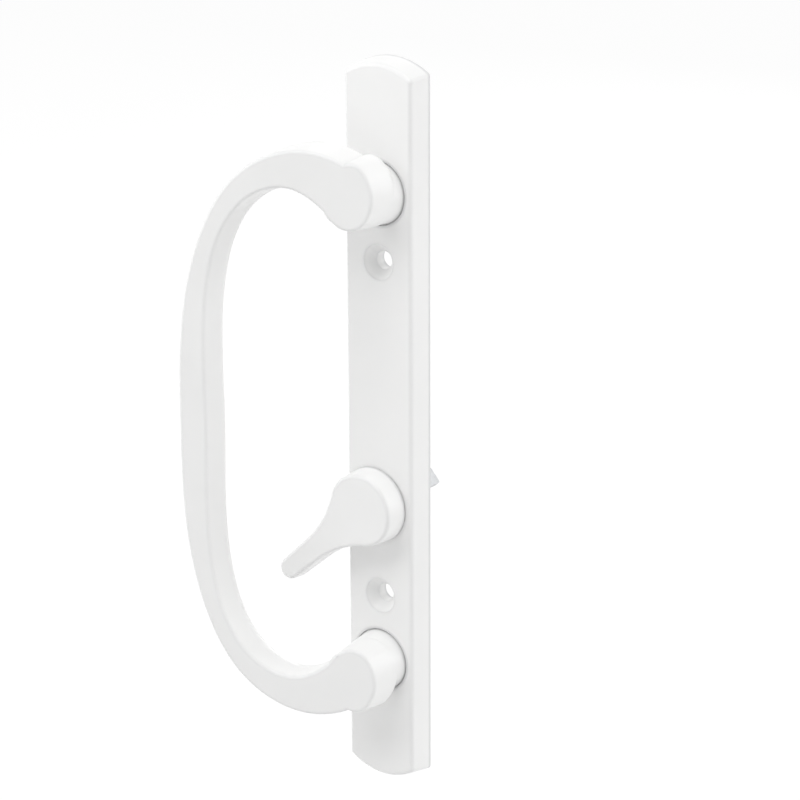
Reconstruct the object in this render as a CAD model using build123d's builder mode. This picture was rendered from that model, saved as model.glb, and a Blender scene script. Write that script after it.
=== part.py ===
from build123d import *
import os
from math import cos, radians, sin, tan

# Sliding patio door handle, inside half with the thumb lever. Millimetres.
# +Z is up, the front faces -Y, and the plate's back rim lies on the door at Y = 0.
# The origin is midway between the two mounting holes, on the back plane.
# Every depth below is measured forward from the back plane.

# backplate, a hollow casting with drafted walls and bowed ends
plate_width = 23.0
plate_side_length = 205.7
plate_end_rise = 3.7
plate_depth = 7.55
plate_draft = 7.3
plate_wall = 1.35
plate_face = 2.0
plate_edge_radius = 1.2

# mounting holes, the standard spacing of this kind of handle
mounting_spacing = 100.0
mounting_hole_radius = 2.7
countersink_radius = 5.17
countersink_angle = 82.0
mounting_boss_radius = 6.5
mounting_boss_setback = 1.4

# grip posts and the bosses that take their screws
post_spacing = 140.0
post_foot_radius = 9.0
socket_depth = 0.9
socket_gap = 0.4
post_boss_radius = 10.8
post_boss_setback = 3.0
screw_recess_radius = 6.8
screw_web = 2.0

# grip loop: a D section with drafted sides, its front face tilted forward towards the loop
grip_tilt = 18.26
grip_face_depth = 22.6
grip_thickness = 11.1
grip_draft = 7.0
grip_outer_draft = 5.0
grip_datum_depth = 20.0
grip_front_radius = 0.9
grip_inner_radius = 3.8
grip_outer_radius = 2.0
grip_reach = 50.05
grip_width = 11.6
pad_centre_x = -5.1
pad_rise = 1.8
pad_radius = 12.8
pad_top_radius = 4.6
pad_top_angle = 40.0
pad_top_turn = 64.0
pad_foot_radius = 6.0
pad_foot_angle = -34.0
pad_foot_turn = -98.0
pad_back_radius = 2.0

# grip screws
thread_radius = 2.4
thread_length = 12.7
thread_gap = 0.05
screw_hole_gap = 0.3
screw_head_radius = 4.3
screw_head_height = 2.5
screw_head_rounding = 1.7
cross_length = 4.6
cross_width = 0.95
cross_depth = 1.5

# thumb lever and its shaft
hub_drop = 20.7
lever_angle = 222.1
lever_gap = 0.3
lever_height = 7.05
lever_draft = 4.0
lever_front_radius = 1.0
head_radius = 11.15
head_offset = 2.5
lever_length = 41.85
lever_tip_radius = 3.6
neck_radius = 33.0
flank_angle = 2.0
lever_neck_drop = 2.3
lever_neck_start = 12.5
shaft_radius = 4.0
shaft_gap = 0.05
shaft_setback = 1.2

# blade, pin, ring and washer on the shaft
blade_width = 5.4
blade_thickness = 1.6
blade_reach = 18.0
blade_socket = 5.0
blade_gap = 0.05
blade_tip_radius = 0.8
pin_radius = 0.75
pin_gap = 0.04
pin_length = 7.4
pin_setback = 2.4
ring_thickness = 0.9
ring_outer_radius = 6.2
ring_body_width = 1.5
ring_prong_width = 2.2
ring_opening = 6.0
ring_gap = 0.05
groove_depth = 0.5
washer_inner_radius = 4.2
washer_outer_radius = 6.4
washer_thickness = 0.35
washer_rise = 0.55
seat_gap = 0.1

# cast bosses and ribs behind the plate
hub_boss_radius = 8.4
hub_boss_setback = 1.3
hub_boss_spacing = 19.05
pocket_mouth_radius = 7.5
pocket_floor_radius = 6.9
dimple_radius = 1.3
dimple_depth = 0.4
small_boss_radius = 3.9
small_boss_bore = 2.4
small_boss_setback = 4.1
small_boss_offset = 22.5
rib_thickness = 1.1
rib_setback = 4.2
mounting_rib_setback = 3.0
ejector_radius = 1.9
ejector_height = 0.2
ejector_inset = 4.6

# values that follow from the sizes above
plate_spread = plate_depth * tan(radians(plate_draft))
floor_depth = plate_depth - plate_face
seat_depth = plate_depth - socket_depth
screw_seat_depth = seat_depth - screw_web
post_height = post_spacing / 2
pair_height = -hub_drop + hub_boss_spacing / 2
lever_foot_depth = plate_depth + lever_gap
washer_depth = floor_depth - seat_gap - washer_rise - washer_thickness
ring_depth = washer_depth - ring_gap - ring_thickness
groove_radius = shaft_radius - groove_depth
tilt_x = cos(radians(grip_tilt))
tilt_y = sin(radians(grip_tilt))
lever_x = cos(radians(lever_angle))
lever_z = sin(radians(lever_angle))


def forward(depth):
    """Plane parallel to the door at this depth, facing the room."""
    return Plane.XZ.offset(depth)


def at_hub(depth):
    """Plane across the lever's pivot, its x axis along the lever."""
    return Plane(origin=(0, -depth, -hub_drop), x_dir=(lever_x, 0, lever_z), z_dir=(0, -1, 0))


def plate_outline(spread):
    """Plate outline with straight sides and bowed ends, grown by spread."""
    half_width = plate_width / 2 + spread
    corner = plate_side_length / 2 + spread
    apex = corner + plate_end_rise
    with BuildSketch(Plane.XY) as outline:
        with BuildLine():
            Line((half_width, -corner), (half_width, corner))
            ThreePointArc((half_width, corner), (0, apex), (-half_width, corner))
            Line((-half_width, corner), (-half_width, -corner))
            ThreePointArc((-half_width, -corner), (0, -apex), (half_width, -corner))
        make_face()
    return outline.sketch


# The backplate: a drafted shell, open at the back, with bosses and ribs on its floor.
with BuildPart() as backplate:
    with BuildSketch(forward(0)):
        add(plate_outline(plate_spread))
    with BuildSketch(forward(plate_depth)):
        add(plate_outline(0))
    loft()
    upright = backplate.edges().filter_by(lambda e: abs(e.bounding_box().size.Y - plate_depth) < 0.01)
    fillet(upright + backplate.faces().sort_by(Axis.Y)[0].edges(), plate_edge_radius)

    floor_spread = plate_spread * (1 - floor_depth / plate_depth)
    with BuildSketch(forward(0)):
        add(plate_outline(plate_spread - plate_wall))
    with BuildSketch(forward(floor_depth)):
        add(plate_outline(floor_spread - plate_wall))
    loft(mode=Mode.SUBTRACT)

    # ribs that tie the bosses to the side walls, and the tick between boss and post boss
    inner_width = plate_width + 2 * floor_spread - plate_wall
    for height in (pair_height + small_boss_offset, pair_height - small_boss_offset):
        with BuildSketch(forward(rib_setback)):
            with Locations((0, height)):
                Rectangle(inner_width, rib_thickness)
        extrude(amount=floor_depth - rib_setback)
    for height in (mounting_spacing / 2, -mounting_spacing / 2):
        with BuildSketch(forward(mounting_rib_setback)):
            with Locations((0, height)):
                Rectangle(inner_width, rib_thickness)
        extrude(amount=floor_depth - mounting_rib_setback)
    with BuildSketch(forward(post_boss_setback)):
        for side in (1, -1):
            with Locations((0, side * (mounting_spacing + post_spacing) / 4)):
                Rectangle(rib_thickness, (post_spacing - mounting_spacing) / 2)
    extrude(amount=floor_depth - post_boss_setback)

    # bosses: two for the grip's screws, two for the mounting screws, two cups and two small ones
    with BuildSketch(forward(post_boss_setback)):
        with Locations((0, post_height), (0, -post_height)):
            Circle(post_boss_radius)
    extrude(amount=floor_depth - post_boss_setback)
    with BuildSketch(forward(mounting_boss_setback)):
        with Locations((0, mounting_spacing / 2), (0, -mounting_spacing / 2)):
            Circle(mounting_boss_radius)
    extrude(amount=floor_depth - mounting_boss_setback, taper=-1.5)
    with BuildSketch(forward(hub_boss_setback)):
        with Locations((0, -hub_drop), (0, -hub_drop + hub_boss_spacing)):
            Circle(hub_boss_radius)
    extrude(amount=floor_depth - hub_boss_setback, taper=-2)
    with BuildSketch(forward(small_boss_setback)):
        with Locations((0, pair_height + small_boss_offset), (0, pair_height - small_boss_offset)):
            Circle(small_boss_radius)
    extrude(amount=floor_depth - small_boss_setback)

    # round pockets in the cups and the small bosses
    for height in (-hub_drop, -hub_drop + hub_boss_spacing):
        with BuildSketch(forward(hub_boss_setback)):
            with Locations((0, height)):
                Circle(pocket_mouth_radius)
        with BuildSketch(forward(floor_depth)):
            with Locations((0, height)):
                Circle(pocket_floor_radius)
        loft(mode=Mode.SUBTRACT)
    with BuildSketch(forward(floor_depth)):
        with Locations((0, -hub_drop + hub_boss_spacing)):
            Circle(dimple_radius)
    extrude(amount=dimple_depth, mode=Mode.SUBTRACT)
    with BuildSketch(forward(small_boss_setback)):
        with Locations((0, pair_height + small_boss_offset), (0, pair_height - small_boss_offset)):
            Circle(small_boss_bore)
    extrude(amount=floor_depth - small_boss_setback, mode=Mode.SUBTRACT)

    # marks of the ejector pins, in the corners and beside the small bosses
    with BuildSketch(forward(floor_depth - ejector_height)):
        corner_x = plate_width / 2 - ejector_inset
        corner_z = plate_side_length / 2 - ejector_inset
        with GridLocations(2 * corner_x, 2 * corner_z, 2, 2):
            Circle(ejector_radius)
        with Locations((0, pair_height)):
            with GridLocations(2 * corner_x, 2 * small_boss_offset - 2 * ejector_inset, 2, 2):
                Circle(ejector_radius)
    extrude(amount=ejector_height)

    # sockets for the posts in front, screw recesses behind and the screw holes between them
    with BuildSketch(forward(seat_depth)):
        with Locations((0, post_height), (0, -post_height)):
            Circle(post_foot_radius + socket_gap)
    extrude(amount=socket_depth, mode=Mode.SUBTRACT)
    with BuildSketch(forward(post_boss_setback)):
        with Locations((0, post_height), (0, -post_height)):
            Circle(screw_recess_radius)
    extrude(amount=screw_seat_depth - post_boss_setback, mode=Mode.SUBTRACT)
    with Locations(forward(screw_seat_depth)):
        with Locations((0, post_height), (0, -post_height)):
            Hole(thread_radius + screw_hole_gap, depth=2 * screw_web)

    # countersunk mounting holes and the bore for the lever's shaft
    with Locations(forward(plate_depth)):
        with Locations((0, mounting_spacing / 2), (0, -mounting_spacing / 2)):
            CounterSinkHole(mounting_hole_radius, countersink_radius, counter_sink_angle=countersink_angle)
        with Locations((0, -hub_drop)):
            Hole(shaft_radius + shaft_gap)

backplate.part.label = "backplate"


def pushed_out(points, spread):
    """The inner points of a smooth curve, moved by spread to its left side."""
    moved = []
    for before, point, after in zip(points, points[1:], points[2:]):
        heading = (Vector(*after) - Vector(*before)).normalized()
        moved.append((point[0] - heading.Y * spread, point[1] + heading.X * spread))
    return moved


def loop_outline(outer_spread, inner_spread):
    """Outline of the grip's loop, each side grown by its spread; both ends lie inside the pads."""
    inner_reach = grip_reach - grip_width
    upper_outer = [
        (4.2, post_height + 7.5),
        (0.0, post_height + 11.1),
        (-0.253 * grip_reach, post_height + 14.5),
        (-0.632 * grip_reach, post_height + 6.3),
        (-0.845 * grip_reach, post_height - 10.6),
        (-0.973 * grip_reach, post_height - 36.8),
    ]
    upper_inner = [
        (-2.2, post_height - 7.0),
        (-0.231 * inner_reach, post_height - 1.3),
        (-0.437 * inner_reach, post_height + 1.9),
        (-0.646 * inner_reach, post_height - 0.6),
        (-0.849 * inner_reach, post_height - 10.0),
        (-0.96 * inner_reach, post_height - 24.0),
    ]
    outer = upper_outer + [(-grip_reach, 0)] + [(x, -z) for x, z in reversed(upper_outer)]
    inner = upper_inner + [(-inner_reach, 0)] + [(x, -z) for x, z in reversed(upper_inner)]
    with BuildSketch(Plane.XY) as outline:
        with BuildLine():
            Spline(outer[0], *pushed_out(outer, -outer_spread), outer[-1])
            Line(outer[0], inner[0])
            Spline(inner[0], *pushed_out(inner, inner_spread), inner[-1])
            Line(outer[-1], inner[-1])
        make_face()
    return outline.sketch


def pad_outline(spread):
    """Outline of the pad that caps the upper post, grown by spread; its left side lies in the loop."""
    centre = Vector(pad_centre_x, post_height + pad_rise)
    top_centre = centre + Vector(pad_radius - pad_top_radius, 0).rotate(Axis.Z, pad_top_angle)
    foot_centre = centre + Vector(pad_radius - pad_foot_radius, 0).rotate(Axis.Z, pad_foot_angle)
    side_turn = pad_top_angle - pad_foot_angle
    with BuildSketch(Plane.XY) as outline:
        with BuildLine():
            CenterArc(centre, pad_radius + spread, pad_foot_angle, side_turn)
            top = CenterArc(top_centre, pad_top_radius + spread, pad_top_angle, pad_top_turn)
            foot = CenterArc(foot_centre, pad_foot_radius + spread, pad_foot_angle, pad_foot_turn)
            Polyline(top @ 1, centre, foot @ 1)
        make_face()
    return outline.sketch


def spread_at(depth, draft=grip_draft):
    """How far a drafted side of the grip stands outside its outline at this depth."""
    return (grip_datum_depth - depth) * tan(radians(draft))


tilted = (tilt_y, -tilt_x, 0)
tilt_axis = Axis((0, 0, 0), tilted)
front_face = Plane(origin=(0, -grip_face_depth, 0), z_dir=tilted)
back_face = Plane(origin=(0, grip_thickness - grip_face_depth, 0), z_dir=tilted)
loft_depth = grip_face_depth + (grip_reach + grip_width) * tan(radians(grip_tilt))


def face_edges(part, which):
    """Curved edges of the part's back (0) or front (-1) tilted face, the shortest first."""
    face = part.faces().filter_by(front_face).sort_by(tilt_axis)[which]
    return face.edges().filter_by(GeomType.LINE, reverse=True).sort_by(SortBy.LENGTH)


# The grip's loop: a drafted band between two tilted planes, rounded to a D section.
with BuildPart() as grip_loop:
    for depth in (seat_depth, loft_depth):
        with BuildSketch(forward(depth)):
            add(loop_outline(spread_at(depth, grip_outer_draft), spread_at(depth)))
    loft(ruled=True)
    split(bisect_by=back_face, keep=Keep.TOP)
    split(bisect_by=front_face, keep=Keep.BOTTOM)
    fillet(face_edges(grip_loop, 0)[-1], grip_outer_radius)
    fillet(face_edges(grip_loop, 0)[0], grip_inner_radius)
    fillet(face_edges(grip_loop, -1), grip_front_radius)

# The upper post, a cone from its seat to the grip's front, and the pad that widens it there.
with BuildPart() as grip_post:
    with BuildSketch(forward(seat_depth)):
        with Locations(Location((0, post_height, 0), (0, 0, 180))):
            Circle(post_foot_radius)
    extrude(amount=grip_face_depth, taper=grip_draft)
    split(bisect_by=front_face, keep=Keep.BOTTOM)
    fillet(face_edges(grip_post, -1), grip_front_radius)

with BuildPart() as grip_pad:
    for depth in (seat_depth, loft_depth):
        with BuildSketch(forward(depth)):
            add(pad_outline(spread_at(depth, grip_outer_draft)))
    loft(ruled=True)
    split(bisect_by=back_face, keep=Keep.TOP)
    split(bisect_by=front_face, keep=Keep.BOTTOM)
    fillet(face_edges(grip_pad, -1).filter_by(GeomType.ELLIPSE), grip_front_radius)
    fillet(face_edges(grip_pad, 0).filter_by(GeomType.ELLIPSE), pad_back_radius)

# The pull grip: loop and posts in one casting, drilled from behind for its two screws.
with BuildPart() as pull_grip:
    add(grip_loop.part)
    for half in (grip_post.part, grip_pad.part):
        add(half)
        add(mirror(half, about=Plane.XY, mode=Mode.PRIVATE))
    with Locations(forward(seat_depth)):
        with Locations((0, post_height), (0, -post_height)):
            Hole(thread_radius + thread_gap, depth=thread_length)
pull_grip.part.label = "pull_grip"

# The two screws that hold the grip from behind, with a cross recess in each domed head.
with BuildPart() as grip_screws:
    screw_centres = [(0, post_height), (0, -post_height)]
    head_back = screw_seat_depth - screw_head_height
    with BuildSketch(forward(head_back)):
        with Locations(*screw_centres):
            Circle(screw_head_radius)
    extrude(amount=screw_head_height)
    dome = grip_screws.faces().sort_by(Axis.Y)[-2:]
    fillet([edge for face in dome for edge in face.edges()], screw_head_rounding)
    with BuildSketch(forward(screw_seat_depth)):
        with Locations(*screw_centres):
            Circle(thread_radius)
    extrude(amount=thread_length)
    chamfer(grip_screws.faces().sort_by(Axis.Y)[:2].edges(), 0.6)
    with BuildSketch(forward(head_back)):
        with Locations(*screw_centres):
            Rectangle(cross_length, cross_width)
            Rectangle(cross_width, cross_length)
    extrude(amount=cross_depth, taper=6, mode=Mode.SUBTRACT)
grip_screws.part.label = "grip_screws"


def lever_outline(spread):
    """Teardrop outline of the lever grown by spread, x along the lever from the pivot.

    A hollow arc runs from the round head into a straight flank, and that into the round tip.
    """
    head, tip = Vector(head_offset, 0), Vector(lever_length - lever_tip_radius, 0)
    outward = Vector(sin(radians(flank_angle)), cos(radians(flank_angle)))
    along = Vector(outward.Y, -outward.X)
    rise = (tip - head).dot(outward) + lever_tip_radius + neck_radius
    run = ((head_radius + neck_radius) ** 2 - rise ** 2) ** 0.5
    neck = head + outward * rise + along * run
    from_head = head + (neck - head).normalized() * (head_radius + spread)
    flank_start = neck - outward * (neck_radius - spread)
    flank_end = tip + outward * (lever_tip_radius + spread)
    neck_middle = neck + ((head - neck).normalized() - outward).normalized() * (neck_radius - spread)
    with BuildSketch(Plane.XY) as outline:
        with BuildLine():
            ThreePointArc(from_head, neck_middle, flank_start)
            Line(flank_start, flank_end)
            mirror(about=Plane.XZ)
            head_back = (head_offset - head_radius - spread, 0)
            ThreePointArc(from_head, head_back, (from_head.X, -from_head.Y))
            ThreePointArc(flank_end, (lever_length + spread, 0), (flank_end.X, -flank_end.Y))
        make_face()
    return outline.sketch


across_shaft = Plane(origin=(0, -pin_setback, -hub_drop), x_dir=(0, -1, 0), z_dir=(lever_x, 0, lever_z))

# The thumb lever: a drafted teardrop, raised behind its arm, with the shaft cast on.
with BuildPart() as thumb_lever:
    with BuildSketch(at_hub(lever_foot_depth)):
        add(lever_outline(0))
    with BuildSketch(at_hub(lever_foot_depth + lever_height)):
        add(lever_outline(-lever_height * tan(radians(lever_draft))))
    loft(ruled=True)
    fillet(thumb_lever.faces().sort_by(Axis.Y)[0].edges(), lever_front_radius)
    with BuildSketch(at_hub(lever_foot_depth)):
        with Locations((lever_neck_start + lever_length / 2, 0)):
            Rectangle(lever_length, 4 * head_radius)
    extrude(amount=lever_neck_drop, mode=Mode.SUBTRACT)
    with BuildSketch(at_hub(shaft_setback)):
        Circle(shaft_radius)
    extrude(amount=lever_foot_depth - shaft_setback)
    ring_slot = ring_depth - ring_gap / 2
    with BuildSketch(at_hub(ring_slot)):
        Circle(shaft_radius)
        Circle(groove_radius, mode=Mode.SUBTRACT)
    extrude(amount=ring_thickness + ring_gap, mode=Mode.SUBTRACT)
    with BuildSketch(at_hub(shaft_setback)):
        Rectangle(blade_thickness + 2 * blade_gap, blade_width + 2 * blade_gap)
    extrude(amount=blade_socket, mode=Mode.SUBTRACT)
    with BuildSketch(across_shaft):
        Circle(pin_radius + pin_gap)
    extrude(amount=shaft_radius, both=True, mode=Mode.SUBTRACT)
thumb_lever.part.label = "thumb_lever"

# The blade that passes through the door to work the latch, drilled for its pin.
with BuildPart() as tailpiece:
    blade_base = shaft_setback + blade_socket - blade_gap
    with BuildSketch(at_hub(-blade_reach)):
        Rectangle(blade_thickness, blade_width)
    extrude(amount=blade_reach + blade_base)
    corners = tailpiece.edges().filter_by(lambda e: abs(e.length - blade_thickness) < 0.01)
    fillet(corners.sort_by(Axis.Y)[-2:], blade_tip_radius)
    with BuildSketch(across_shaft):
        Circle(pin_radius + pin_gap)
    extrude(amount=blade_thickness, both=True, mode=Mode.SUBTRACT)
tailpiece.part.label = "tailpiece"

# The pin that holds the blade in the shaft's slot.
with BuildPart() as tailpiece_pin:
    with BuildSketch(across_shaft):
        Circle(pin_radius)
    extrude(amount=pin_length / 2, both=True)
    chamfer(tailpiece_pin.edges(), pin_radius / 5)
tailpiece_pin.part.label = "tailpiece_pin"

# The open ring in the shaft's groove, gripping it with three prongs.
with BuildPart() as retaining_ring:
    ring_inner_radius = ring_outer_radius - ring_body_width
    prong_tip = groove_radius + ring_gap
    with BuildSketch(at_hub(ring_depth)):
        Circle(ring_outer_radius)
        Circle(ring_inner_radius, mode=Mode.SUBTRACT)
        Rectangle(2 * ring_outer_radius, ring_opening, align=(Align.MIN, Align.CENTER), mode=Mode.SUBTRACT)
        with PolarLocations((prong_tip + ring_inner_radius) / 2, 3, start_angle=60):
            Rectangle(ring_inner_radius - prong_tip + ring_body_width, ring_prong_width)
        Circle(prong_tip, mode=Mode.SUBTRACT)
    extrude(amount=ring_thickness)
retaining_ring.part.label = "retaining_ring"

# The bent washer between the ring and the plate, which keeps the lever from rattling.
with BuildPart() as spring_washer:
    with BuildSketch(at_hub(washer_depth)):
        Circle(washer_outer_radius)
        Circle(washer_inner_radius, mode=Mode.SUBTRACT)
    extrude(amount=washer_rise + washer_thickness)
    bend_radius = (washer_outer_radius ** 2 + washer_rise ** 2) / (2 * washer_rise)
    bend_centre = (0, bend_radius - washer_depth - washer_rise, -hub_drop)
    with BuildSketch(Plane(origin=bend_centre, x_dir=(0, -1, 0), z_dir=(lever_x, 0, lever_z))):
        Circle(bend_radius + washer_thickness)
        Circle(bend_radius, mode=Mode.SUBTRACT)
    extrude(amount=washer_outer_radius, both=True, mode=Mode.INTERSECT)
spring_washer.part.label = "spring_washer"

os.makedirs("parts", exist_ok=True)
outer_pieces = [backplate, pull_grip, grip_screws, thumb_lever]
inner_pieces = [tailpiece, tailpiece_pin, retaining_ring, spring_washer]
for piece in outer_pieces + inner_pieces:
    export_step(piece.part, "parts/" + piece.part.label + ".step")
    print(piece.part.label, piece.part.volume, piece.part.is_valid, len(piece.part.solids()))
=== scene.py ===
from math import cos, radians, sin

import bpy
from mathutils import Matrix, Vector


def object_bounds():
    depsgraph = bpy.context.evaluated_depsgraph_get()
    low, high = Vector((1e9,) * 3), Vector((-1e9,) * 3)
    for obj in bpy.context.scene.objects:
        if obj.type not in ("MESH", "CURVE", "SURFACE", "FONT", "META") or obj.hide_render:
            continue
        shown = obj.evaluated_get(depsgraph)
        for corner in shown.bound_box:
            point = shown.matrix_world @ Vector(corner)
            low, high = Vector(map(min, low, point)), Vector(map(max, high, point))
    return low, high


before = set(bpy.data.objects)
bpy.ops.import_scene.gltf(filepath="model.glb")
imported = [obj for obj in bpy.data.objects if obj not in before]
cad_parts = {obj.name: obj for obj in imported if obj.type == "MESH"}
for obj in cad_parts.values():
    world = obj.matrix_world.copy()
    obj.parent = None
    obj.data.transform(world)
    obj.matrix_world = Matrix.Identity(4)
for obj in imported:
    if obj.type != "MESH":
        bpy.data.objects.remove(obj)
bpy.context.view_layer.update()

# The cast pieces: the backplate, the pull grip whose posts stand in it, and the thumb lever that
# turns in it. They are die-cast zinc with a baked white powder coat, satin, with a very fine skin.
# Their colour carries painted shade along the edges, which turns it grey there.
cast_pieces = ("backplate", "pull_grip", "thumb_lever")
pure_white = (1, 1, 1, 1)
coat_white_dull = (0.905, 0.905, 0.9, 1)
coat_white_clear = (0.925, 0.925, 0.92, 1)
# The grey of the painted shade along the cast pieces' edges, and the width of that band.
edge_shade_grey = (0.79, 0.79, 0.8, 1)
cloud_size = 0.02
edge_shade_width = 0.00105
peel_size = 0.0011
peel_depth = 0.00003


def new_finish(name):
    """A material of this name, with its node tree and its shader."""
    finish = bpy.data.materials.new(name)
    finish.use_nodes = True
    return finish, finish.node_tree, finish.node_tree.nodes["Principled BSDF"]


def spots(tree, place, size, detail):
    """Soft random spots of about this size, in the unit of the place that they are laid out by."""
    noise = tree.nodes.new("ShaderNodeTexNoise")
    noise.inputs["Scale"].default_value = 1 / size
    noise.inputs["Detail"].default_value = detail
    tree.links.new(place, noise.inputs["Vector"])
    return noise.outputs["Fac"]


def two_tones(tree, amount, low_stop, low_tone, high_stop, high_tone):
    """A colour that goes from the low tone to the high one as the amount passes the two stops."""
    ramp = tree.nodes.new("ShaderNodeValToRGB")
    low_end, high_end = ramp.color_ramp.elements
    low_end.position = low_stop
    low_end.color = low_tone
    high_end.position = high_stop
    high_end.color = high_tone
    tree.links.new(amount, ramp.inputs["Fac"])
    return ramp.outputs["Color"]


def uneven_gloss(tree, shader, amount, smoothest, roughest):
    """Lets the shader's roughness follow this amount, between the two values."""
    gloss = tree.nodes.new("ShaderNodeMapRange")
    gloss.inputs["To Min"].default_value = smoothest
    gloss.inputs["To Max"].default_value = roughest
    tree.links.new(amount, gloss.inputs["Value"])
    tree.links.new(gloss.outputs["Result"], shader.inputs["Roughness"])


def relief(tree, shader, height, strength, depth):
    """Gives the shader a fine relief of this depth, in metres."""
    bump = tree.nodes.new("ShaderNodeBump")
    bump.inputs["Strength"].default_value = strength
    bump.inputs["Distance"].default_value = depth
    tree.links.new(height, bump.inputs["Height"])
    tree.links.new(bump.outputs["Normal"], shader.inputs["Normal"])


def dress(pieces, finish):
    """Gives this finish, and no other, to these pieces of the frame."""
    for piece in pieces:
        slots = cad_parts[piece].data.materials
        slots.clear()
        slots.append(finish)


white_coat, coat_tree, coat_shader = new_finish("white_powder_coat")
coat_shader.inputs["Coat Weight"].default_value = 0.15
coat_shader.inputs["Coat Roughness"].default_value = 0.25
coat_shader.inputs["Specular IOR Level"].default_value = 0.45
coat_place = coat_tree.nodes.new("ShaderNodeTexCoord").outputs["Object"]
clouds = spots(coat_tree, coat_place, cloud_size, detail=3.0)
coat_tint = two_tones(coat_tree, clouds, 0.3, coat_white_dull, 0.7, coat_white_clear)

# Painted shade: ambient occlusion traced inside each piece finds the surface near the edges, and
# the colour is greyed there.
edge_shade_occlusion = coat_tree.nodes.new("ShaderNodeAmbientOcclusion")
edge_shade_occlusion.inside = True
edge_shade_occlusion.only_local = True
edge_shade_occlusion.samples = 8
edge_shade_occlusion.inputs["Distance"].default_value = edge_shade_width
painted_edge_shade = two_tones(coat_tree, edge_shade_occlusion.outputs["AO"], 0.7, edge_shade_grey, 0.97, pure_white)
coat_colour_with_edge_shade = coat_tree.nodes.new("ShaderNodeVectorMath")
coat_colour_with_edge_shade.operation = "MULTIPLY"
coat_tree.links.new(coat_tint, coat_colour_with_edge_shade.inputs[0])
coat_tree.links.new(painted_edge_shade, coat_colour_with_edge_shade.inputs[1])
coat_tree.links.new(coat_colour_with_edge_shade.outputs["Vector"], coat_shader.inputs["Base Color"])

uneven_gloss(coat_tree, coat_shader, clouds, smoothest=0.34, roughest=0.44)
peel = spots(coat_tree, coat_place, peel_size, detail=1.5)
relief(coat_tree, coat_shader, peel, strength=0.12, depth=peel_depth)
dress(cast_pieces, white_coat)

# The steel pieces: the tailpiece with its pin, the ring and the washer that hold the lever's shaft
# from behind, and the two screws in the grip's posts. All are zinc plated, greyish, with a soft
# gloss and fine marks of the rolling.
steel_pieces = ("tailpiece", "tailpiece_pin", "retaining_ring", "spring_washer", "grip_screws")
zinc_dull = (0.5, 0.51, 0.52, 1)
zinc_clear = (0.62, 0.63, 0.64, 1)
spangle_size = 0.002
rolling_mark_width = 0.0002
rolling_mark_length = 0.004
rolling_mark_depth = 0.00002

zinc, zinc_tree, zinc_shader = new_finish("zinc_plated_steel")
zinc_shader.inputs["Metallic"].default_value = 1.0
zinc_place = zinc_tree.nodes.new("ShaderNodeTexCoord").outputs["Object"]
spangle = spots(zinc_tree, zinc_place, spangle_size, detail=4.0)
zinc_tint = two_tones(zinc_tree, spangle, 0.3, zinc_dull, 0.7, zinc_clear)
zinc_tree.links.new(zinc_tint, zinc_shader.inputs["Base Color"])

rolling = zinc_tree.nodes.new("ShaderNodeMapping")
across_marks = 1 / rolling_mark_width
along_marks = 1 / rolling_mark_length
rolling.inputs["Scale"].default_value = (across_marks, along_marks, across_marks)
zinc_tree.links.new(zinc_place, rolling.inputs["Vector"])
rolling_marks = spots(zinc_tree, rolling.outputs["Vector"], 1.0, detail=2.0)
uneven_gloss(zinc_tree, zinc_shader, rolling_marks, smoothest=0.28, roughest=0.46)
relief(zinc_tree, zinc_shader, rolling_marks, strength=0.25, depth=rolling_mark_depth)
dress(steel_pieces, zinc)

# The floor: a sheet of pale matte paper well below the handle, which is shown as it would hang on
# its door. To the camera and in reflections it reads as white, and it keeps part of the shadow.
paper_colour = (0.86, 0.86, 0.86, 1)
paper_glow_strength = 1.06
paper_glow_share = 0.88
floor_drop = 0.09
floor_half = 2.5
floor_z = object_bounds()[0].z - floor_drop

floor_mesh = bpy.data.meshes.new("floor")
floor_mesh.from_pydata(
    [(-floor_half, -floor_half, floor_z), (floor_half, -floor_half, floor_z),
     (floor_half, floor_half, floor_z), (-floor_half, floor_half, floor_z)],
    [], [(0, 1, 2, 3)],
)
floor = bpy.data.objects.new("floor", floor_mesh)
bpy.context.scene.collection.objects.link(floor)


def seen_rays(tree):
    """1 for rays of the camera, of reflections and of what shows through, 0 for all that light."""
    ray = tree.nodes.new("ShaderNodeLightPath")
    seen = ray.outputs["Is Camera Ray"]
    for kind in ("Is Glossy Ray", "Is Transmission Ray"):
        either = tree.nodes.new("ShaderNodeMath")
        either.operation = "MAXIMUM"
        tree.links.new(seen, either.inputs[0])
        tree.links.new(ray.outputs[kind], either.inputs[1])
        seen = either.outputs[0]
    return seen


def blend_shaders(tree, amount, plain, white, output):
    """Sends to the tree's output the plain shader, and as the amount rises the white one."""
    mix = tree.nodes.new("ShaderNodeMixShader")
    tree.links.new(amount, mix.inputs[0])
    tree.links.new(plain.outputs[0], mix.inputs[1])
    tree.links.new(white.outputs[0], mix.inputs[2])
    tree.links.new(mix.outputs[0], tree.nodes[output].inputs["Surface"])


floor_paper, paper_tree, paper_shader = new_finish("floor_paper")
paper_shader.inputs["Base Color"].default_value = paper_colour
paper_shader.inputs["Roughness"].default_value = 0.9
paper_shader.inputs["Specular IOR Level"].default_value = 0.0
paper_glow = paper_tree.nodes.new("ShaderNodeEmission")
paper_glow.inputs["Strength"].default_value = paper_glow_strength
glow_share = paper_tree.nodes.new("ShaderNodeMath")
glow_share.operation = "MULTIPLY"
glow_share.inputs[1].default_value = paper_glow_share
paper_tree.links.new(seen_rays(paper_tree), glow_share.inputs[0])
blend_shaders(paper_tree, glow_share.outputs[0], paper_shader, paper_glow, "Material Output")
floor_mesh.materials.append(floor_paper)

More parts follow.
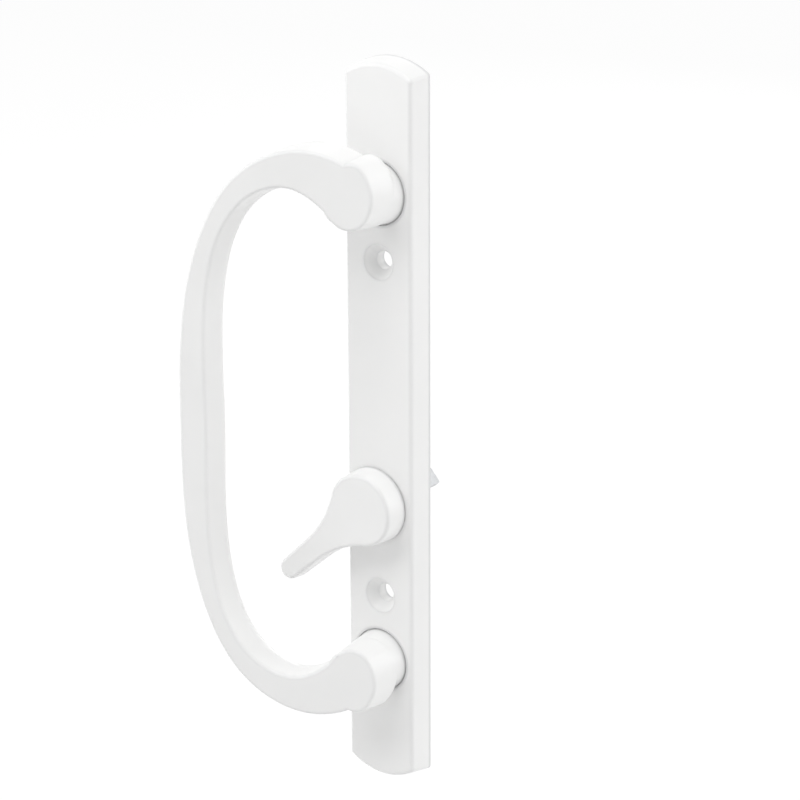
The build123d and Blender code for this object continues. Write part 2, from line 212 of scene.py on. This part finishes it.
# The studio: a weak even fill and eight soft square panels, above and all round, set so that the
# handle is shaded gently under its grip and in its countersinks and stays white at the back.
fill_strength = 0.35
world = bpy.data.worlds.new("studio")
bpy.context.scene.world = world
world.use_nodes = True
world_tree = world.node_tree
world_fill = world_tree.nodes["Background"]
world_fill.inputs["Color"].default_value = pure_white
world_fill.inputs["Strength"].default_value = fill_strength
world_white = world_tree.nodes.new("ShaderNodeBackground")
world_white.inputs["Color"].default_value = pure_white
world_white.inputs["Strength"].default_value = 1.0
blend_shaders(world_tree, seen_rays(world_tree), world_fill, world_white, "World Output")


def soft_panel(name, place, size, watts):
    """A square lamp of this size at this place, turned to the handle."""
    lamp = bpy.data.lights.new(name, "AREA")
    lamp.shape = "SQUARE"
    lamp.size = size
    lamp.energy = watts
    panel = bpy.data.objects.new(name, lamp)
    panel.location = place
    panel.rotation_euler = Vector(place).to_track_quat("Z", "Y").to_euler()
    bpy.context.scene.collection.objects.link(panel)


soft_panel("panel_above", (0.0, 0.0, 1.2), 0.7, 1.0)
soft_panel("panel_above_front", (0.0, -0.4, 0.85), 0.6, 3.2)
soft_panel("panel_front_left", (-0.6, -0.7, 0.6), 0.6, 2.5)
soft_panel("panel_front", (0.0, -1.3, 0.2), 0.8, 1.0)
soft_panel("panel_left", (-1.2, -0.4, 0.2), 0.8, 3.2)
soft_panel("panel_right", (1.2, 0.1, 0.3), 0.8, 3.9)
soft_panel("panel_back_right", (0.9, 0.75, 0.3), 0.8, 2.8)
soft_panel("panel_back_left", (-0.3, 1.1, 0.4), 0.8, 3.6)

# The camera: a long lens to the right of the handle and above it, found from the mounting holes,
# the plate's corners and the grip in the photograph.
azimuth = radians(37.771)
elevation = radians(18.554)
roll = radians(-0.2327)
camera_distance = 0.899147
target_right = 0.001296
target_up = 0.007458
focal_pixels = 3154.2
image_pixels = 800
sensor_width = 36.0
nearest_view = 0.05
backward = Vector((sin(azimuth) * cos(elevation), -cos(azimuth) * cos(elevation), sin(elevation)))
rightward = Vector((cos(azimuth), sin(azimuth), 0))
upward = backward.cross(rightward)
rolled_right = rightward * cos(roll) + upward * sin(roll)
rolled_up = upward * cos(roll) - rightward * sin(roll)
eye = rightward * target_right + Vector((0, 0, target_up)) + backward * camera_distance

lens = bpy.data.cameras.new("camera")
lens.sensor_width = sensor_width
lens.lens = focal_pixels / image_pixels * sensor_width
lens.clip_start = nearest_view
camera = bpy.data.objects.new("camera", lens)
camera_turn = Matrix((rolled_right, rolled_up, backward)).transposed().to_4x4()
camera.matrix_world = Matrix.Translation(eye) @ camera_turn
bpy.context.scene.collection.objects.link(camera)
bpy.context.scene.camera = camera
bpy.context.scene.view_settings.view_transform = "Standard"
